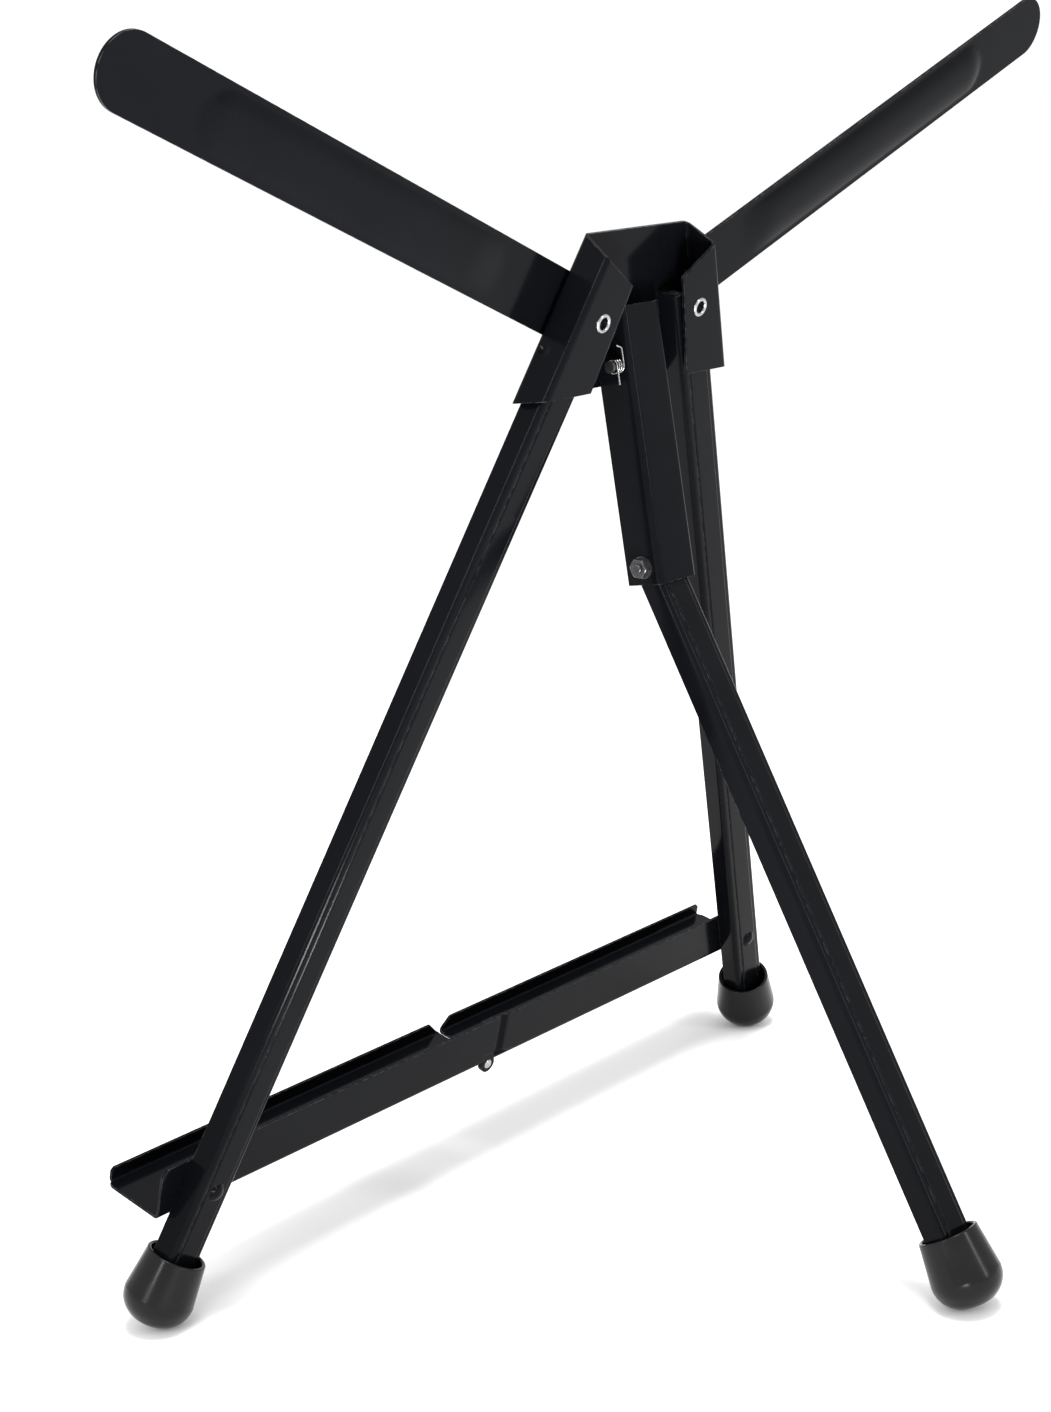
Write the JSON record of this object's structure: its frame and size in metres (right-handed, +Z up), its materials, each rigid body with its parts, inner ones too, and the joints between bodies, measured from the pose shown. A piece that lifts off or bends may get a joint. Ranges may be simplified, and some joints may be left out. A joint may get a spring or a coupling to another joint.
{
  "type": "tabletop display easel",
  "caption": "Black sheet-steel tabletop tripod easel with two swivel arms, a folding two-piece ledge, a bent rear leg and rubber feet.",
  "frame": {"origin": "on the floor, under the middle of the whole easel's box", "axes": "+Z up, -Y towards the side that shows the displayed item, +X towards the left leg as seen from behind"},
  "size_m": [0.4546, 0.2404, 0.4101],
  "materials": {
    "black_steel": "semi-gloss black powder coat",
    "rubber": "satin moulded rubber",
    "bright_plate": "bright plated",
    "spring_steel": "drawn wire",
    "dark_hardware": "dark plated"
  },
  "bodies": {
    "head": {"head_bracket": "black_steel", "hinge_bracket": "black_steel", "hinge_pin": "dark_hardware", "return_spring": "spring_steel", "left_eyelet": "bright_plate", "right_eyelet": "bright_plate", "wing_washers": "bright_plate"},
    "left_leg": {"left_leg": "black_steel", "left_foot": "rubber", "left_ledge_rivet": "black_steel"},
    "right_leg": {"right_leg": "black_steel", "right_foot": "rubber", "right_ledge_rivet": "black_steel"},
    "ledge_left": {"ledge_left": "black_steel", "ledge_center_rivet": "bright_plate"},
    "ledge_right": {"ledge_right": "black_steel", "right_ledge_rivet_tail": "black_steel"},
    "rear_strut": {"rear_channel": "black_steel", "knee_bolt": "dark_hardware", "knee_washers": "dark_hardware", "knee_nut": "dark_hardware"},
    "rear_leg": {"rear_leg": "black_steel", "rear_foot": "rubber"},
    "left_wing": {"left_wing": "black_steel"},
    "right_wing": {"right_wing": "black_steel"}
  },
  "joints": [
    {"name": "leg_fold", "type": "hinge", "parent": "head", "child": "left_leg", "pos_m": [0.025, -0.00725, 0.3168], "axis": [0, 0.9617, -0.274], "range_deg": [0, 23.2]},
    {"name": "right_leg_fold", "type": "hinge", "parent": "head", "child": "right_leg", "pos_m": [-0.025, -0.00725, 0.3168], "axis": [0, 0.9617, -0.274], "range_deg": [-23.2, 0]},
    {"name": "left_ledge_pivot", "type": "hinge", "parent": "left_leg", "child": "ledge_left", "pos_m": [0.1461, -0.09268, 0.04736], "axis": [0, 0.9617, -0.274], "range_deg": [0, 64.23]},
    {"name": "ledge_center_pivot", "type": "hinge", "parent": "ledge_left", "child": "ledge_right", "pos_m": [0.0015, -0.09536, 0.03796], "axis": [0, 0.9617, -0.274], "range_deg": [-168.02, 0]},
    {"name": "rear_hinge", "type": "hinge", "parent": "head", "child": "rear_strut", "pos_m": [0, -0.01065, 0.30072], "axis": [-1, 0, 0], "range_deg": [0, 22.9]},
    {"name": "knee", "type": "hinge", "parent": "rear_strut", "child": "rear_leg", "pos_m": [0, -0.00477, 0.23494], "axis": [-1, 0, 0], "range_deg": [0, 20]},
    {"name": "left_arm_swivel", "type": "hinge", "parent": "head", "child": "left_wing", "pos_m": [0.025, -0.01749, 0.31972], "axis": [0, 0.9617, -0.274], "range_deg": [-66.6, 113.4]},
    {"name": "right_arm_swivel", "type": "hinge", "parent": "head", "child": "right_wing", "pos_m": [-0.025, -0.01749, 0.31972], "axis": [0, 0.9617, -0.274], "range_deg": [-113.4, 66.6]}
  ],
  "couplings": [
    {"joint": "right_leg_fold", "follows": "leg_fold", "ratio": -1},
    {"joint": "left_ledge_pivot", "follows": "leg_fold", "ratio": 2.7687},
    {"joint": "ledge_center_pivot", "follows": "leg_fold", "ratio": -7.2424}
  ]
}
